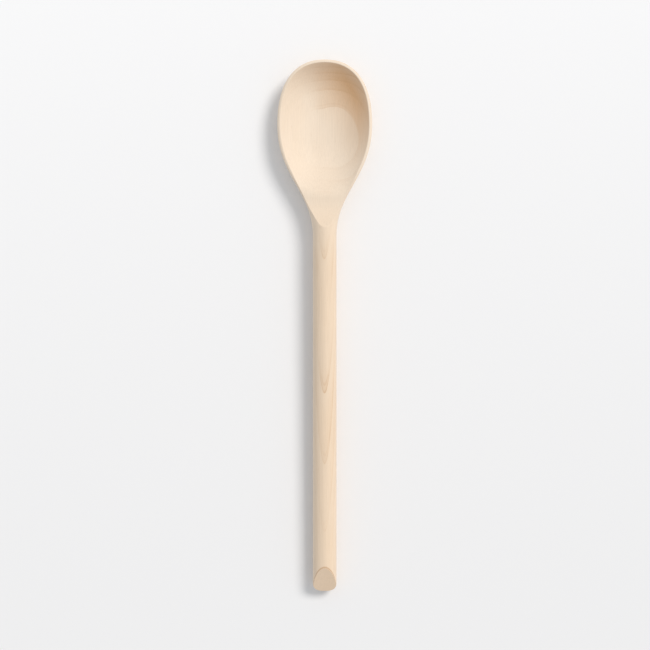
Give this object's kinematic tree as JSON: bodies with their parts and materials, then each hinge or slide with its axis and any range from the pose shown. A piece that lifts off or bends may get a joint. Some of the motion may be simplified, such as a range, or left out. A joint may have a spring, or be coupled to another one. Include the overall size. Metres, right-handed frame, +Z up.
{
  "type": "mixing spoon",
  "caption": "Wooden mixing spoon carved in a single piece: egg-shaped bowl, neck swept up to a straight round handle, slanted flat on the handle's rounded end.",
  "frame": {"origin": "on the table that the spoon lies on, below the middle of its box", "axes": "+Y along the spoon from the butt of the handle to the tip of the bowl, +Z up, out of the open bowl, +X across the bowl"},
  "size_m": [0.0636, 0.3556, 0.0193],
  "materials": {
    "maple": "sanded bare hard maple, satin"
  },
  "bodies": {
    "root": {"spoon_body": "maple"}
  },
  "joints": []
}
